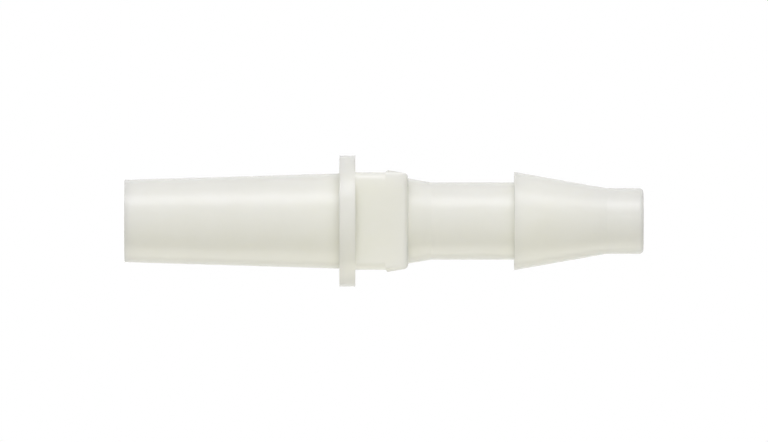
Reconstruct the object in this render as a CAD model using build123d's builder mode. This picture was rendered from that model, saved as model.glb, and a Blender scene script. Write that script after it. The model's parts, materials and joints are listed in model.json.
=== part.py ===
from build123d import *
import os

# Male luer to hose barb fitting, moulded in one piece in a natural milky plastic. A luer cone,
# a round flange and a snap collar for a separate lock ring, a neck, and one hose barb with a
# plain lead-in tip follow each other along the axis, and one bore runs through them all.
# The axis is +Z, with the origin in the middle of the luer tip's face and the barb on top.
# Sizes are in millimetres.

# Luer cone, whose small end is the foot
luer_tip_diameter = 3.97
luer_taper = 0.06  # growth of the diameter for each millimetre of length
luer_length = 10.35
luer_tip_wall = 0.935

# Round flange, the stop that a lock ring bears on
flange_diameter = 6.32
flange_thickness = 0.77

# Snap collar, square with rounded corners, with a ridge across each of its two side faces
collar_across_flats = 4.69
collar_corner_radius = 0.42
collar_length = 2.54
head_corner_radius = 0.30
collar_end_radius = 0.25
ridge_height = 0.105
ridge_step_length = 0.10
ridge_ramp_fall = 0.125  # a little more than the ridge's height, so the end is a lead-in
ridge_setback = 0.99  # from the crest of the ridge to the collar's end

# Neck, which tapers from the collar down to the seat of the hose
neck_root_diameter = 4.11
neck_taper_length = 1.12
neck_diameter = 3.725
neck_length = 3.99

# Hose barb and the plain tip in front of it
barb_diameter = 4.74
barb_length = 4.45
tip_diameter = 3.17
tip_length = 1.78
tip_end_radius = 0.20
tip_wall = 0.785

# Bore, wide through the luer cone and narrower through the barb
bore_step_setback = 0.50  # from the flange's barb side to the start of the narrowing
bore_step_length = 1.80
luer_mouth_chamfer = 0.10
tip_mouth_chamfer = 0.10

# Heights of the sections along the axis
flange_z = luer_length
collar_z = flange_z + flange_thickness
neck_z = collar_z + collar_length
hose_seat_z = neck_z + neck_taper_length
barb_z = hose_seat_z + neck_length
tip_z = barb_z + barb_length
top_z = tip_z + tip_length
crest_z = neck_z - ridge_setback
head_z = crest_z - ridge_step_length
ramp_end_z = neck_z - collar_end_radius
bore_step_z = collar_z + bore_step_setback

# Half widths and radii of the sections
luer_tip_radius = luer_tip_diameter / 2
luer_base_radius = luer_tip_radius + luer_taper * luer_length / 2
flange_radius = flange_diameter / 2
collar_half = collar_across_flats / 2
crest_half = collar_half + ridge_height
ramp_end_half = crest_half - ridge_ramp_fall
neck_root_radius = neck_root_diameter / 2
neck_radius = neck_diameter / 2
barb_radius = barb_diameter / 2
tip_radius = tip_diameter / 2
luer_bore_radius = luer_tip_radius - luer_tip_wall
tip_bore_radius = tip_radius - tip_wall

with BuildPart() as snap_collar:
    # Square column, with a head of smaller corners from the ridge to the end
    with BuildSketch(Plane.XY.offset(collar_z)):
        RectangleRounded(collar_across_flats, collar_across_flats, collar_corner_radius)
    extrude(amount=head_z - collar_z)
    with BuildSketch(Plane.XY.offset(head_z)):
        RectangleRounded(2 * crest_half, collar_across_flats, head_corner_radius)
    extrude(amount=neck_z - head_z)

    # Side outlines, seen along Y with the ridge's step and ramp, and along X without it.
    # Both turn in at the collar's end on the same radius.
    for outline_plane, top_half, end_half in (
        (Plane.XZ, crest_half, ramp_end_half),
        (Plane.YZ, collar_half, collar_half),
    ):
        with BuildSketch(outline_plane):
            with BuildLine():
                Polyline(
                    (0, collar_z),
                    (collar_half, collar_z),
                    (collar_half, head_z),
                    (top_half, crest_z),
                    (end_half, ramp_end_z),
                )
                CenterArc((end_half - collar_end_radius, ramp_end_z), collar_end_radius, 0, 90)
                Polyline((end_half - collar_end_radius, neck_z), (0, neck_z), (0, collar_z))
            make_face()
            mirror(about=Plane.YZ)
        extrude(amount=crest_half, both=True, mode=Mode.INTERSECT)

with BuildPart() as luer_barb_fitting:
    # Every round section is one turned outline
    with BuildSketch(Plane.XZ):
        with BuildLine():
            Polyline(
                (0, 0),
                (luer_tip_radius, 0),
                (luer_base_radius, flange_z),
                (flange_radius, flange_z),
                (flange_radius, collar_z),
                (neck_root_radius, collar_z),
                (neck_root_radius, neck_z),
                (neck_radius, hose_seat_z),
                (neck_radius, barb_z),
                (barb_radius, barb_z),
                (tip_radius, tip_z),
                (tip_radius, top_z),
                (0, top_z),
                close=True,
            )
        make_face()
    revolve(axis=Axis.Z)
    fillet(luer_barb_fitting.edges().group_by(Axis.Z)[-1], tip_end_radius)
    add(snap_collar.part)

    # Bore, opened from both ends
    with BuildSketch(Plane.XZ):
        with BuildLine():
            Polyline(
                (0, 0),
                (luer_bore_radius + luer_mouth_chamfer, 0),
                (luer_bore_radius, luer_mouth_chamfer),
                (luer_bore_radius, bore_step_z),
                (tip_bore_radius, bore_step_z + bore_step_length),
                (tip_bore_radius, top_z - tip_mouth_chamfer),
                (tip_bore_radius + tip_mouth_chamfer, top_z),
                (0, top_z),
                close=True,
            )
        make_face()
    revolve(axis=Axis.Z, mode=Mode.SUBTRACT)

luer_barb_fitting.part.label = "luer_barb_fitting"
os.makedirs("parts", exist_ok=True)
export_step(luer_barb_fitting.part, "parts/luer_barb_fitting.step")
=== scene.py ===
import json
import logging
import math
from collections.abc import Iterator
from dataclasses import dataclass, field
from enum import Enum

import bmesh
import bpy
from mathutils import Matrix, Vector


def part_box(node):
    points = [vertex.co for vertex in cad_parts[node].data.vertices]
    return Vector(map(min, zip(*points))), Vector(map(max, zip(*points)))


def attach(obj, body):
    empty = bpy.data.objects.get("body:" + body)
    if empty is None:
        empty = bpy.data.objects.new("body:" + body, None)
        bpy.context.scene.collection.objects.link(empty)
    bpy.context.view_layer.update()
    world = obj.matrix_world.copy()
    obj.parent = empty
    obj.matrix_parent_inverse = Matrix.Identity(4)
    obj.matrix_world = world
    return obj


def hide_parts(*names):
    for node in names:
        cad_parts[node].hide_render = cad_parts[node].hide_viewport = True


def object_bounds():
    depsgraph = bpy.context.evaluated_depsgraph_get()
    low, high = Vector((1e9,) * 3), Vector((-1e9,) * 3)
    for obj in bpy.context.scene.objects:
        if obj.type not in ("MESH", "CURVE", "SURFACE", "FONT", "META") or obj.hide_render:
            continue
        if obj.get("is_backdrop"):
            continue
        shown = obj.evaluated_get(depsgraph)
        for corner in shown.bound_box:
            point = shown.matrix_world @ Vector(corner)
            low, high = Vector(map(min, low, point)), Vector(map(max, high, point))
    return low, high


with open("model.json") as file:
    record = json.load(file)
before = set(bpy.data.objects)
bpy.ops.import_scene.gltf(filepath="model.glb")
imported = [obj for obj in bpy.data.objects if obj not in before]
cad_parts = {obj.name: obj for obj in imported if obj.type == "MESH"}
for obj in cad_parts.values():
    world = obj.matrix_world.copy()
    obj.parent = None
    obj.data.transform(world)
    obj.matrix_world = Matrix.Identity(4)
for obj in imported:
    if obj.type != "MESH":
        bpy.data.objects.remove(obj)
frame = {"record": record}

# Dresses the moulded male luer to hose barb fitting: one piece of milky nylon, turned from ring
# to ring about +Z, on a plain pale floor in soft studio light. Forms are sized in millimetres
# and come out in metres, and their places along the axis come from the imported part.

MM = 0.001
NODE = "luer_barb_fitting"
NEARLY_ZERO = 1e-9

log = logging.getLogger("scene")


class Edge(Enum):
    """How the moulding leaves the edge that runs round a ring."""

    KEEN = "keen"
    BROKEN = "broken"


@dataclass(frozen=True)
class Ring:
    """One closed outline round the axis: a rounded rectangle, which a full corner makes a circle.

    The trims cut the outline flat across X and Y, so a head can carry straight side faces.
    """

    height: float
    half_x: float
    half_y: float
    corner: float
    trim_x: float = math.inf
    trim_y: float = math.inf
    edge: Edge = Edge.KEEN

    def reach(self, angle: float) -> float:
        """Find how far the outline lies from the axis.

        Args:
            angle: Direction about the axis, in radians from +X.

        Returns:
            The distance in millimetres.
        """
        across_x = max(abs(math.cos(angle)), NEARLY_ZERO)
        across_y = max(abs(math.sin(angle)), NEARLY_ZERO)
        reach = min(self.half_x / across_x, self.half_y / across_y)
        centre_x = self.half_x - self.corner
        centre_y = self.half_y - self.corner
        if reach * across_x > centre_x and reach * across_y > centre_y:
            along = across_x * centre_x + across_y * centre_y
            beyond = centre_x**2 + centre_y**2 - self.corner**2
            reach = along + math.sqrt(max(along**2 - beyond, 0.0))
        return min(reach, self.trim_x / across_x, self.trim_y / across_y)


def round_ring(height: float, radius: float, edge: Edge = Edge.KEEN) -> Ring:
    """Make a circular ring.

    Args:
        height: Place along the axis, in millimetres.
        radius: Radius in millimetres.
        edge: How the moulding leaves its edge.

    Returns:
        The ring.
    """
    return Ring(height, radius, radius, radius, edge=edge)


@dataclass(frozen=True)
class MilkyNylon:
    """Natural nylon as moulded: warm white, cloudy in depth, with a soft satin skin."""

    clear_tone: tuple[float, float, float] = (0.84, 0.84, 0.755)
    cloudy_tone: tuple[float, float, float] = (0.80, 0.80, 0.705)
    cloud_size: float = 1.6
    cloud_detail: float = 3.0
    scatter_share: float = 0.65
    scatter_depth: float = 2.60
    scatter_tint: tuple[float, float, float] = (1.0, 0.98, 0.90)
    smoothest: float = 0.22
    roughest: float = 0.28
    grain_size: float = 0.12
    grain_depth: float = 0.0012
    grain_detail: float = 2.0
    grain_strength: float = 0.10
    refraction: float = 1.53

    def material(self) -> bpy.types.Material:
        """Build the node material on Object coordinates.

        Returns:
            The new material.
        """
        made = bpy.data.materials.new("milky_nylon")
        made.use_nodes = True
        nodes = made.node_tree.nodes
        links = made.node_tree.links
        shader = nodes["Principled BSDF"]
        place = nodes.new("ShaderNodeTexCoord")

        clouds = self._noise(nodes, links, place, self.cloud_size, self.cloud_detail)
        tone = nodes.new("ShaderNodeMix")
        tone.data_type = "RGBA"
        tone.inputs["A"].default_value = (*self.clear_tone, 1.0)
        tone.inputs["B"].default_value = (*self.cloudy_tone, 1.0)
        links.new(clouds.outputs["Fac"], tone.inputs["Factor"])
        links.new(tone.outputs["Result"], shader.inputs["Base Color"])

        grain = self._noise(nodes, links, place, self.grain_size, self.grain_detail)
        satin = nodes.new("ShaderNodeMapRange")
        satin.inputs["To Min"].default_value = self.smoothest
        satin.inputs["To Max"].default_value = self.roughest
        links.new(grain.outputs["Fac"], satin.inputs["Value"])
        links.new(satin.outputs["Result"], shader.inputs["Roughness"])

        bump = nodes.new("ShaderNodeBump")
        bump.inputs["Strength"].default_value = self.grain_strength
        bump.inputs["Distance"].default_value = self.grain_depth * MM
        links.new(grain.outputs["Fac"], bump.inputs["Height"])
        links.new(bump.outputs["Normal"], shader.inputs["Normal"])

        shader.inputs["IOR"].default_value = self.refraction
        shader.inputs["Subsurface Weight"].default_value = self.scatter_share
        shader.inputs["Subsurface Radius"].default_value = self.scatter_tint
        shader.inputs["Subsurface Scale"].default_value = self.scatter_depth * MM
        return made

    def _noise(
        self,
        nodes: bpy.types.Nodes,
        links: bpy.types.NodeLinks,
        place: bpy.types.ShaderNode,
        size: float,
        detail: float,
    ) -> bpy.types.ShaderNode:
        """Add a noise of a given grain on Object coordinates.

        Args:
            nodes: Nodes of the material.
            links: Links of the material.
            place: The texture coordinate node.
            size: Width of a grain in millimetres.
            detail: How many finer layers it has.

        Returns:
            The noise node.
        """
        noise = nodes.new("ShaderNodeTexNoise")
        noise.inputs["Scale"].default_value = 1.0 / (size * MM)
        noise.inputs["Detail"].default_value = detail
        links.new(place.outputs["Object"], noise.inputs["Vector"])
        return noise


@dataclass(frozen=True)
class LuerCone:
    """The standard male cone, whose small end is the foot."""

    tip_radius: float = 1.985
    taper: float = 0.06
    length: float = 10.35

    def rings(self, foot: float) -> Iterator[Ring]:
        """Yield the cone's rings from the foot up to the flange.

        Args:
            foot: Height of the foot in millimetres.
        """
        base_radius = self.tip_radius + self.taper * self.length / 2
        yield round_ring(foot, self.tip_radius, Edge.BROKEN)
        yield round_ring(foot + self.length, base_radius)


@dataclass(frozen=True)
class Flange:
    """The round stop that a lock ring bears on."""

    radius: float = 3.16
    thickness: float = 0.77

    def rings(self, low: float) -> Iterator[Ring]:
        """Yield the rings of the flange's rim.

        Args:
            low: Height of its lower face in millimetres.
        """
        yield round_ring(low, self.radius, Edge.BROKEN)
        yield round_ring(low + self.thickness, self.radius, Edge.BROKEN)


@dataclass(frozen=True)
class SnapCollar:
    """The square collar with rounded corners, and a ridge across each face that looks along X."""

    half: float = 2.345
    corner: float = 0.42
    length: float = 2.54
    head_corner: float = 0.30
    end_radius: float = 0.25
    ridge_height: float = 0.105
    ridge_step: float = 0.10
    ridge_fall: float = 0.125
    ridge_setback: float = 0.99
    end_steps: int = 12

    def rings(self, low: float) -> Iterator[Ring]:
        """Yield the collar's rings from the flange to the rounded end.

        Args:
            low: Height of the flange's barb side in millimetres.
        """
        crest = low + self.length - self.ridge_setback
        head = crest - self.ridge_step
        turn = low + self.length - self.end_radius
        crest_half = self.half + self.ridge_height
        ramp_end_half = crest_half - self.ridge_fall
        yield Ring(low, self.half, self.half, self.corner)
        yield Ring(head, self.half, self.half, self.corner)
        yield self._head(head, self.half, self.half)
        yield self._head(crest, crest_half, self.half)
        for step in range(self.end_steps + 1):
            swing = math.pi / 2 * step / self.end_steps
            inset = self.end_radius * (1 - math.cos(swing))
            height = turn + self.end_radius * math.sin(swing)
            yield self._head(height, ramp_end_half - inset, self.half - inset)

    def _head(self, height: float, trim_x: float, trim_y: float) -> Ring:
        """Make one outline of the head, trimmed to its side faces.

        Args:
            height: Place along the axis in millimetres.
            trim_x: Half width across X.
            trim_y: Half width across Y.

        Returns:
            The ring.
        """
        column_x = self.half + self.ridge_height
        return Ring(height, column_x, self.half, self.head_corner, trim_x, trim_y)


@dataclass(frozen=True)
class Neck:
    """The taper that leaves the collar, and the round seat of the hose."""

    root_radius: float = 2.055
    taper_length: float = 1.12
    radius: float = 1.8625
    length: float = 3.99

    def rings(self, low: float) -> Iterator[Ring]:
        """Yield the neck's rings from the collar to the back of the barb.

        Args:
            low: Height of the collar's end in millimetres.
        """
        yield round_ring(low, self.root_radius)
        yield round_ring(low + self.taper_length, self.radius)
        yield round_ring(low + self.taper_length + self.length, self.radius)


@dataclass(frozen=True)
class HoseBarb:
    """The barb with its keen back edge, and the plain tip in front of it.

    One more ring, `holding_ring` end radii back from the tip's flat end, keeps the shading of the
    rounded end from spreading along the tip.
    """

    radius: float = 2.37
    length: float = 4.45
    tip_radius: float = 1.585
    tip_length: float = 1.78
    end_radius: float = 0.20
    end_steps: int = 12
    holding_ring: float = 1.2

    def rings(self, low: float) -> Iterator[Ring]:
        """Yield the barb's rings from its back to the tip's flat end.

        Args:
            low: Height of the barb's back in millimetres.
        """
        top = low + self.length + self.tip_length
        yield round_ring(low, self.radius, Edge.BROKEN)
        yield round_ring(low + self.length, self.tip_radius)
        yield round_ring(top - self.holding_ring * self.end_radius, self.tip_radius)
        for step in range(self.end_steps + 1):
            swing = math.pi / 2 * step / self.end_steps
            inset = self.end_radius * (1 - math.cos(swing))
            rise = self.end_radius * math.sin(swing)
            yield round_ring(top - self.end_radius + rise, self.tip_radius - inset)


@dataclass(frozen=True)
class Bore:
    """The flow bore, wide through the luer cone and narrower through the barb."""

    luer_radius: float = 1.05
    tip_radius: float = 0.80
    step_length: float = 1.80
    mouth: float = 0.10

    def rings(self, top: float, narrow: float, foot: float) -> Iterator[Ring]:
        """Yield the bore's rings from the barb's mouth down to the luer's.

        Args:
            top: Height of the barb's mouth in millimetres.
            narrow: Height at which the narrower part begins.
            foot: Height of the luer's mouth.
        """
        yield round_ring(top, self.tip_radius + self.mouth)
        yield round_ring(top - self.mouth, self.tip_radius)
        yield round_ring(narrow, self.tip_radius)
        yield round_ring(narrow - self.step_length, self.luer_radius)
        yield round_ring(foot + self.mouth, self.luer_radius)
        yield round_ring(foot, self.luer_radius + self.mouth)


@dataclass
class Fitting:
    """The whole moulding, built ring by ring into one closed skin.

    The weld is a distance in metres. An edge runs round the axis when its ends span more than
    `least_span`, which is twice the area between them and the axis, in square metres.
    """

    cone: LuerCone = field(default_factory=LuerCone)
    flange: Flange = field(default_factory=Flange)
    collar: SnapCollar = field(default_factory=SnapCollar)
    neck: Neck = field(default_factory=Neck)
    barb: HoseBarb = field(default_factory=HoseBarb)
    bore: Bore = field(default_factory=Bore)
    finish: MilkyNylon = field(default_factory=MilkyNylon)
    segments: int = 360
    broken_edge: float = 0.015
    broken_steps: int = 3
    crease_degrees: float = 8.5
    weld: float = 1e-8
    least_span: float = 1e-11

    def rings(self) -> list[Ring]:
        """List every ring in order, up the outside and down the bore.

        Returns:
            The rings, whose last joins the first across the foot.
        """
        low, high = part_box(NODE)
        foot, top = low[2] / MM, high[2] / MM
        seat = mount_height("lock_ring_seat")
        barb_back = mount_height("hose_barb")
        collar_end = barb_back - self.neck.taper_length - self.neck.length
        bore_length = mount_size("tip_bore", "length_mm")
        outline = [
            *self.cone.rings(foot),
            *self.flange.rings(seat - self.flange.thickness),
            *self.collar.rings(seat),
            *self.neck.rings(collar_end),
            *self.barb.rings(barb_back),
        ]
        narrow = top - self.bore.mouth - bore_length
        return [*outline, *self.bore.rings(top, narrow, foot)]

    def build(self) -> bpy.types.Object:
        """Model the moulding and dress it.

        Returns:
            The finished piece, riding on the root body in place of its node.
        """
        form = bmesh.new()
        self._skin(form)
        mesh = bpy.data.meshes.new("fitting_body")
        form.to_mesh(mesh)
        form.free()
        mesh.materials.append(self.finish.material())
        piece = bpy.data.objects.new("fitting_body", mesh)
        bpy.context.collection.objects.link(piece)
        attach(piece, "root")
        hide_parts(NODE)
        return piece

    def _skin(self, form: bmesh.types.BMesh) -> None:
        """Draw the first ring out through all the others and close it on itself.

        Args:
            form: An empty bmesh that receives the moulding.
        """
        rings = self.rings()
        start = bmesh.ops.create_circle(form, segments=self.segments, radius=1.0)
        self._shape(start["verts"], rings[0])
        loop = list(form.edges)
        broken = list(loop) if rings[0].edge is Edge.BROKEN else []
        first = loop
        for ring in rings[1:]:
            drawn = bmesh.ops.extrude_edge_only(form, edges=loop)["geom"]
            self._shape([v for v in drawn if isinstance(v, bmesh.types.BMVert)], ring)
            loop = [e for e in drawn if isinstance(e, bmesh.types.BMEdge) and e.is_boundary]
            if ring.edge is Edge.BROKEN:
                broken.extend(loop)
        bmesh.ops.bridge_loops(form, edges=[*first, *loop])
        bmesh.ops.bevel(
            form,
            geom=broken,
            offset=self.broken_edge * MM,
            offset_type="OFFSET",
            segments=self.broken_steps,
            profile=0.5,
            affect="EDGES",
            material=-1,
        )
        bmesh.ops.remove_doubles(form, verts=form.verts, dist=self.weld)
        bmesh.ops.recalc_face_normals(form, faces=form.faces)
        for face in form.faces:
            face.smooth = True
        for edge in form.edges:
            ends = [vert.co.xy for vert in edge.verts]
            runs_round = abs(ends[0].cross(ends[1])) > self.least_span
            if runs_round and edge.calc_face_angle(0.0) > math.radians(self.crease_degrees):
                edge.smooth = False

    @staticmethod
    def _shape(verts: list[bmesh.types.BMVert], ring: Ring) -> None:
        """Move a loop of vertices onto a ring, each along its own direction.

        Args:
            verts: The loop's vertices.
            ring: The ring that they take.
        """
        for vert in verts:
            angle = math.atan2(vert.co.y, vert.co.x)
            reach = ring.reach(angle) * MM
            vert.co = (reach * math.cos(angle), reach * math.sin(angle), ring.height * MM)


def mount(name: str) -> dict:
    """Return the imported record's mount of a name."""
    return next(m for m in frame["record"]["mounts"] if m["name"] == name)


def mount_height(name: str) -> float:
    """Return a mount's height along the axis in millimetres."""
    return mount(name)["pos_m"][2] / MM


def mount_size(name: str, key: str) -> float:
    """Return one of a mount's sizes in millimetres."""
    return mount(name)["dims"][key]


def calculate(
    nodes: bpy.types.Nodes,
    links: bpy.types.NodeLinks,
    operation: str,
    *terms: bpy.types.NodeSocket | float,
) -> bpy.types.NodeSocket:
    """Add a math node.

    Args:
        nodes: Nodes of the tree.
        links: Links of the tree.
        operation: What it does.
        terms: Its inputs in order, each a number or a socket.

    Returns:
        The socket that carries the result.
    """
    made = nodes.new("ShaderNodeMath")
    made.operation = operation
    for slot, term in enumerate(terms):
        if isinstance(term, float):
            made.inputs[slot].default_value = term
        else:
            links.new(term, made.inputs[slot])
    return made.outputs["Value"]


def seen_share(nodes: bpy.types.Nodes, links: bpy.types.NodeLinks) -> bpy.types.NodeSocket:
    """Tell rays that see the background from rays that light the part.

    Args:
        nodes: Nodes of the tree.
        links: Links of the tree.

    Returns:
        A socket that is 1 for camera, glossy and transmission rays, and 0 for the rest.
    """
    path = nodes.new("ShaderNodeLightPath").outputs
    seen = calculate(nodes, links, "MAXIMUM", path["Is Camera Ray"], path["Is Glossy Ray"])
    return calculate(nodes, links, "MAXIMUM", seen, path["Is Transmission Ray"])


def bearing_to(degrees: float) -> Vector:
    """Turn a bearing about the axis into a direction.

    Args:
        degrees: 0 is the front, 90 the side of -X, 180 the back and -90 the side of +X.

    Returns:
        The unit vector.
    """
    turn = math.radians(degrees)
    return Vector((-math.sin(turn), -math.cos(turn), 0.0))


@dataclass(frozen=True)
class Softbox:
    """A rectangular lamp beside the part, long along its axis.

    Its bearing is in degrees, as `bearing_to` takes it, and its lengths are in metres.
    """

    name: str
    bearing: float
    across: float
    radiance: float
    tint: tuple[float, float, float]
    along: float = 0.25
    distance: float = 0.30

    def build(self, middle: Vector) -> bpy.types.Object:
        """Hang the lamp.

        Args:
            middle: The point that it looks at, in metres.

        Returns:
            The lamp object.
        """
        lamp = bpy.data.lights.new(self.name, "AREA")
        lamp.shape = "RECTANGLE"
        lamp.size = self.across
        lamp.size_y = self.along
        lamp.energy = self.radiance * math.pi * self.across * self.along
        lamp.color = self.tint
        held = bpy.data.objects.new(self.name, lamp)
        away = bearing_to(self.bearing)
        up = Vector((0.0, 0.0, 1.0))
        turn = Matrix((up.cross(away), up, away)).transposed()
        held.matrix_world = Matrix.Translation(middle + away * self.distance) @ turn.to_4x4()
        held.visible_camera = False
        bpy.context.collection.objects.link(held)
        return held


@dataclass(frozen=True)
class Surround:
    """The white room, which lights the part from all round and a little from both ends.

    Each stop is a bearing about the axis, as `bearing_to` takes it, with the room's colour there.
    Towards the ends of the axis these colours fade by the power of `fall_off`.
    """

    stops: tuple[tuple[float, tuple[float, float, float]], ...] = (
        (-180.0, (1.30, 1.30, 1.30)),
        (-150.0, (1.20, 1.20, 1.20)),
        (-120.0, (1.26, 1.26, 1.26)),
        (-90.0, (0.95, 0.93, 0.88)),
        (-60.0, (1.42, 1.37, 1.20)),
        (-30.0, (2.12, 2.09, 1.95)),
        (0.0, (1.72, 1.72, 1.75)),
        (15.0, (1.55, 1.55, 1.55)),
        (30.0, (1.61, 1.57, 1.61)),
        (45.0, (1.91, 1.90, 1.95)),
        (60.0, (2.77, 2.76, 2.84)),
        (75.0, (2.73, 2.72, 2.80)),
        (90.0, (1.48, 1.45, 1.50)),
        (105.0, (0.67, 0.63, 0.64)),
        (120.0, (0.29, 0.25, 0.22)),
        (150.0, (1.20, 1.20, 1.20)),
        (180.0, (1.30, 1.30, 1.30)),
    )
    brightest: float = 3.0
    fall_off: float = 6.0
    end_level: float = 0.4

    def build(self) -> bpy.types.World:
        """Set the world.

        Returns:
            The new world.
        """
        world = bpy.data.worlds.new("white_room")
        world.use_nodes = True
        nodes = world.node_tree.nodes
        links = world.node_tree.links
        nodes.clear()
        place = nodes.new("ShaderNodeTexCoord")
        parts = nodes.new("ShaderNodeSeparateXYZ")
        links.new(place.outputs["Generated"], parts.inputs["Vector"])
        lean = calculate(nodes, links, "MULTIPLY", parts.outputs["Z"], parts.outputs["Z"])
        level = calculate(nodes, links, "MULTIPLY_ADD", lean, -1.0, 1.0)
        belt = calculate(nodes, links, "POWER", level, self.fall_off)
        strength = calculate(nodes, links, "MULTIPLY", belt, self.brightest)
        steep = calculate(nodes, links, "MULTIPLY", lean, lean)
        end_strength = calculate(nodes, links, "MULTIPLY", steep, self.end_level)

        room = nodes.new("ShaderNodeBackground")
        links.new(self._round_the_axis(nodes, links, parts), room.inputs["Color"])
        links.new(strength, room.inputs["Strength"])
        ends = nodes.new("ShaderNodeBackground")
        ends.inputs["Color"].default_value = (1.0, 1.0, 1.0, 1.0)
        links.new(end_strength, ends.inputs["Strength"])
        light = nodes.new("ShaderNodeAddShader")
        links.new(room.outputs["Background"], light.inputs[0])
        links.new(ends.outputs["Background"], light.inputs[1])

        white = nodes.new("ShaderNodeBackground")
        white.inputs["Color"].default_value = (1.0, 1.0, 1.0, 1.0)
        choice = nodes.new("ShaderNodeMixShader")
        links.new(seen_share(nodes, links), choice.inputs["Fac"])
        links.new(light.outputs["Shader"], choice.inputs[1])
        links.new(white.outputs["Background"], choice.inputs[2])
        out = nodes.new("ShaderNodeOutputWorld")
        links.new(choice.outputs["Shader"], out.inputs["Surface"])
        bpy.context.scene.world = world
        return world

    def _round_the_axis(
        self,
        nodes: bpy.types.Nodes,
        links: bpy.types.NodeLinks,
        parts: bpy.types.ShaderNode,
    ) -> bpy.types.NodeSocket:
        """Colour the room by the bearing about the axis.

        Args:
            nodes: Nodes of the world.
            links: Links of the world.
            parts: The node that gives the direction's X, Y and Z.

        Returns:
            The socket that carries the colour, as a share of the brightest level.
        """
        left = calculate(nodes, links, "MULTIPLY", parts.outputs["X"], -1.0)
        front = calculate(nodes, links, "MULTIPLY", parts.outputs["Y"], -1.0)
        turn = calculate(nodes, links, "ARCTAN2", left, front)
        share = calculate(nodes, links, "MULTIPLY_ADD", turn, 1 / math.tau, 0.5)
        levels = nodes.new("ShaderNodeValToRGB")
        elements = levels.color_ramp.elements
        for degrees, _ in self.stops[1:-1]:
            elements.new(degrees / 360 + 0.5)
        for element, (_, colour) in zip(elements, self.stops):
            element.color = (*(part / self.brightest for part in colour), 1.0)
        links.new(share, levels.inputs["Fac"])
        return levels.outputs["Color"]


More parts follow.
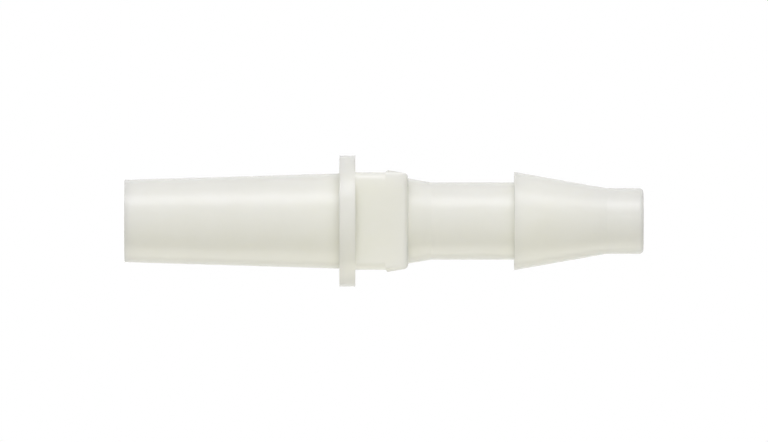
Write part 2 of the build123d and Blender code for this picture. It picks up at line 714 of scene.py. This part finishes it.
@dataclass(frozen=True)
class Floor:
    """A plain floor, white in open light, that keeps the part's shadow round its foot.

    Its lengths are in millimetres, and `open_light` is how much light its matte share takes where
    the part doesn't stand in the way.
    """

    half_width: float = 120.0
    tone: float = 0.92
    open_light: float = 0.37
    near_glow: float = 0.80
    near_reach: float = 5.0
    far_reach: float = 18.0

    def build(self, height: float) -> bpy.types.Object:
        """Lay the floor.

        Args:
            height: Height of its surface in metres.

        Returns:
            The floor, marked as stage.
        """
        form = bmesh.new()
        bmesh.ops.create_grid(form, x_segments=1, y_segments=1, size=self.half_width * MM)
        bmesh.ops.translate(form, verts=form.verts, vec=(0.0, 0.0, height))
        mesh = bpy.data.meshes.new("floor")
        form.to_mesh(mesh)
        form.free()
        mesh.materials.append(self._sheet())
        floor = bpy.data.objects.new("floor", mesh)
        floor.visible_diffuse = False
        floor.visible_glossy = False
        floor.visible_shadow = False
        bpy.context.collection.objects.link(floor)
        floor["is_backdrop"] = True
        return floor

    def _sheet(self) -> bpy.types.Material:
        """Build the floor's material: matte near the part, and plain white farther out.

        Returns:
            The new material.
        """
        made = bpy.data.materials.new("pale_sheet")
        made.use_nodes = True
        nodes = made.node_tree.nodes
        links = made.node_tree.links
        nodes.clear()
        place = nodes.new("ShaderNodeTexCoord")
        away = nodes.new("ShaderNodeVectorMath")
        away.operation = "LENGTH"
        links.new(place.outputs["Object"], away.inputs[0])
        fade = nodes.new("ShaderNodeMapRange")
        fade.interpolation_type = "SMOOTHSTEP"
        fade.inputs["From Min"].default_value = self.near_reach * MM
        fade.inputs["From Max"].default_value = self.far_reach * MM
        fade.inputs["To Min"].default_value = self.near_glow
        fade.inputs["To Max"].default_value = 1.0
        links.new(away.outputs["Value"], fade.inputs["Value"])

        white = nodes.new("ShaderNodeEmission")
        strength = calculate(
            nodes, links, "MULTIPLY", fade.outputs["Result"], seen_share(nodes, links)
        )
        links.new(strength, white.inputs["Strength"])
        matte = nodes.new("ShaderNodeBsdfDiffuse")
        matte.inputs["Color"].default_value = (self.tone, self.tone, self.tone, 1.0)
        full = 1 / (self.tone * self.open_light)
        share = calculate(nodes, links, "MULTIPLY_ADD", fade.outputs["Result"], -full, full)
        lit = nodes.new("ShaderNodeMixShader")
        links.new(share, lit.inputs["Fac"])
        links.new(matte.outputs["BSDF"], lit.inputs[2])
        both = nodes.new("ShaderNodeAddShader")
        links.new(white.outputs["Emission"], both.inputs[0])
        links.new(lit.outputs["Shader"], both.inputs[1])
        out = nodes.new("ShaderNodeOutputMaterial")
        links.new(both.outputs["Shader"], out.inputs["Surface"])
        return made


@dataclass(frozen=True)
class Camera:
    """A long lens square to the axis, rolled so that the barb points to the right.

    Its sizes are in millimetres, apart from the far clip, which is in metres.
    """

    lens: float = 1000.0
    sensor: float = 36.0
    width_seen: float = 37.008
    far_clip: float = 10.0

    def build(self, middle: Vector) -> bpy.types.Object:
        """Set up the camera.

        Args:
            middle: The point in the middle of the view, in metres.

        Returns:
            The camera object.
        """
        data = bpy.data.cameras.new("camera")
        data.lens = self.lens
        data.sensor_width = self.sensor
        data.clip_end = self.far_clip
        held = bpy.data.objects.new("camera", data)
        distance = self.width_seen * MM * self.lens / self.sensor
        back = Vector((0.0, -1.0, 0.0))
        right = Vector((0.0, 0.0, 1.0))
        turn = Matrix((right, back.cross(right), back)).transposed()
        held.matrix_world = Matrix.Translation(middle + back * distance) @ turn.to_4x4()
        bpy.context.collection.objects.link(held)
        bpy.context.scene.camera = held
        return held


@dataclass
class Studio:
    """The floor, the white room, the softboxes and the camera."""

    floor: Floor = field(default_factory=Floor)
    surround: Surround = field(default_factory=Surround)
    camera: Camera = field(default_factory=Camera)
    lamps: tuple[Softbox, ...] = (
        Softbox("key_softbox", 59.0, 0.15, 1.80, (0.92, 0.91, 1.00)),
        Softbox("low_softbox", -98.0, 0.20, 1.15, (1.00, 0.98, 0.93)),
    )

    def build(self) -> None:
        """Set everything that isn't the part."""
        low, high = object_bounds()
        middle = (Vector(low) + Vector(high)) / 2
        self.floor.build(low[2])
        self.surround.build()
        for lamp in self.lamps:
            lamp.build(middle)
            log.info("lamp %s", lamp.name)
        self.camera.build(middle)


def main() -> None:
    """Build the fitting and its studio, and log how many faces the fitting has."""
    logging.basicConfig(level=logging.INFO, format="%(name)s: %(message)s")
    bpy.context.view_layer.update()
    piece = Fitting().build()
    log.info("%s: %d faces", piece.name, len(piece.data.polygons))
    Studio().build()
    bpy.context.scene.view_settings.view_transform = "Standard"


if __name__ == "__main__":
    main()
